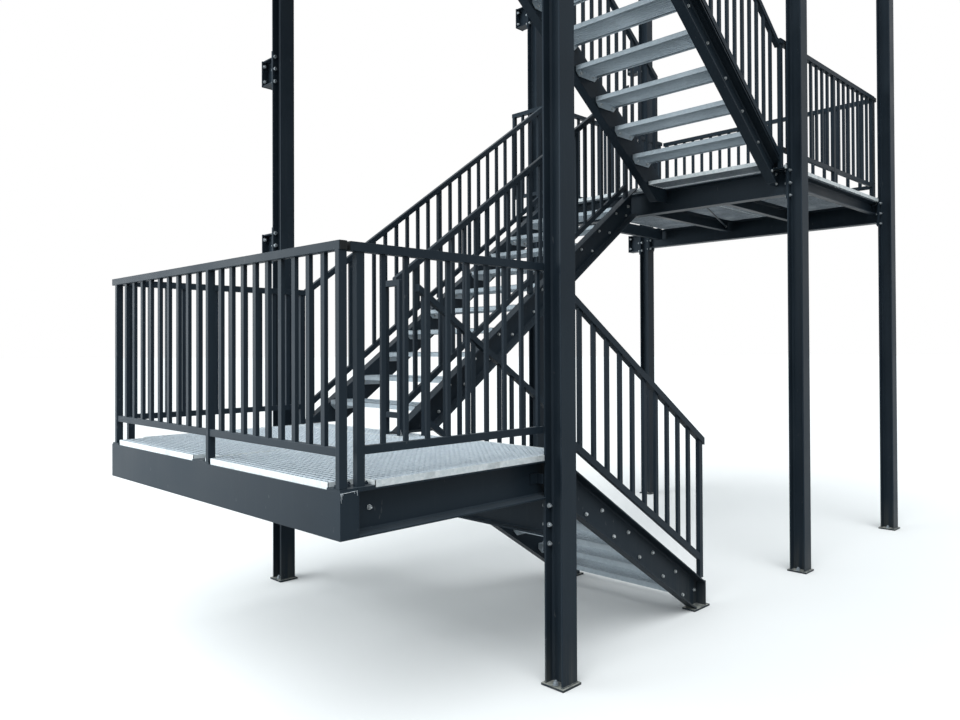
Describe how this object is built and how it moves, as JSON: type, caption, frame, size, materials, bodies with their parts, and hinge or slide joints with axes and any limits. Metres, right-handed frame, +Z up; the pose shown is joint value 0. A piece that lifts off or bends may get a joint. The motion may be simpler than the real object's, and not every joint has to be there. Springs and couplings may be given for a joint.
{
  "type": "outdoor escape stair",
  "caption": "Outdoor steel escape stair with grating treads, channel stringers, picket railings and landings carried on wide-flange columns.",
  "frame": {"origin": "centre of the stair's plan box, on the ground plane under the column base plates", "axes": "+X along the wall, towards the upper landing; +Y towards the wall; +Z up"},
  "size_m": [6.44, 3.035, 6.276],
  "materials": {
    "anthracite_steel": "satin",
    "galvanised_grating": "matte"
  },
  "bodies": {
    "root": {"column_a": "anthracite_steel", "column_b": "anthracite_steel", "column_c": "anthracite_steel", "column_d": "anthracite_steel", "column_e": "anthracite_steel", "column_f": "anthracite_steel", "lower_fascia": "anthracite_steel", "lower_near_beam": "anthracite_steel", "lower_wall_beam": "anthracite_steel", "lower_middle_beam": "anthracite_steel", "lower_cross_beam": "anthracite_steel", "lower_gratings": "galvanised_grating", "flight1_near_stringer": "anthracite_steel", "flight1_inner_stringer": "anthracite_steel", "flight1_treads": "galvanised_grating", "flight2_inner_stringer": "anthracite_steel", "flight2_wall_stringer": "anthracite_steel", "flight2_treads": "galvanised_grating", "flight3_near_stringer": "anthracite_steel", "flight3_inner_stringer": "anthracite_steel", "flight3_treads": "galvanised_grating", "upper_inner_beam": "anthracite_steel", "upper_outer_beam": "anthracite_steel", "upper_frame": "anthracite_steel", "upper_gratings": "galvanised_grating", "top_frame": "anthracite_steel", "top_gratings": "galvanised_grating", "lower_left_railing": "anthracite_steel", "lower_near_railing": "anthracite_steel", "lower_wall_railing": "anthracite_steel", "guard_panels": "anthracite_steel", "flight1_near_railing": "anthracite_steel", "flight1_inner_railing": "anthracite_steel", "flight2_inner_railing": "anthracite_steel", "flight2_wall_railing": "anthracite_steel", "flight3_near_railing": "anthracite_steel", "flight3_inner_railing": "anthracite_steel", "upper_near_railing": "anthracite_steel", "upper_end_railing": "anthracite_steel", "upper_wall_railing": "anthracite_steel", "top_left_railing": "anthracite_steel", "top_near_railing": "anthracite_steel", "top_wall_railing": "anthracite_steel", "top_end_railing": "anthracite_steel", "wall_ties": "anthracite_steel"}
  },
  "joints": []
}
